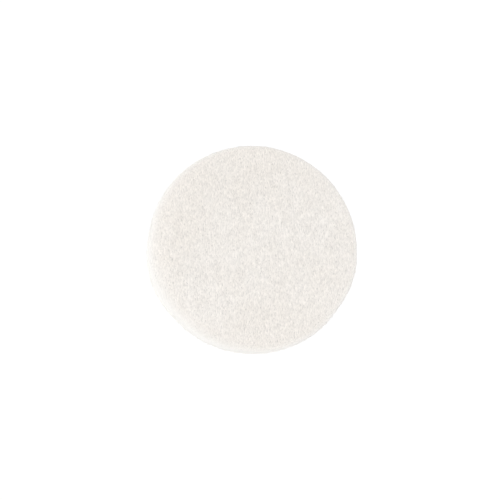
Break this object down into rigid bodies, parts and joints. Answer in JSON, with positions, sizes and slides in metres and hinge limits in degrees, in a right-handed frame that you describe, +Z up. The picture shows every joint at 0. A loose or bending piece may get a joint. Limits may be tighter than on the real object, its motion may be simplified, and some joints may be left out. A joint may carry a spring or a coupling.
{
  "type": "felt polishing wheel",
  "caption": "Thick pressed-felt disc bonded to a ribbed backing plate with a threaded hub, which screws onto the end of a lapidary arbor to polish stones.",
  "frame": {"origin": "on the wheel's axis, at the centre of its bounding box, halfway through its depth", "axes": "+Y along the spin axis towards the hub and the machine, so the felt's working face looks along -Y; +Z up; +X completes the right-handed frame"},
  "size_m": [0.1524, 0.0568, 0.1524],
  "materials": {
    "felt": "pressed wool felt, matt, with a short nap",
    "cement": "dried contact cement",
    "plate": "moulded glass-filled nylon",
    "hub": "turned and zinc plated",
    "screw": "stainless",
    "washer": "zinc plated",
    "insert": "turned"
  },
  "bodies": {
    "root": {"felt_disc": "felt", "bond_layer": "cement", "backing_plate": "plate", "threaded_hub": "hub", "hub_screw_1": "screw", "hub_screw_2": "screw", "hub_screw_3": "screw", "hub_screw_4": "screw", "screw_washer_1": "washer", "screw_washer_2": "washer", "screw_washer_3": "washer", "screw_washer_4": "washer", "plate_insert_1": "insert", "plate_insert_2": "insert", "plate_insert_3": "insert", "plate_insert_4": "insert"}
  },
  "joints": []
}
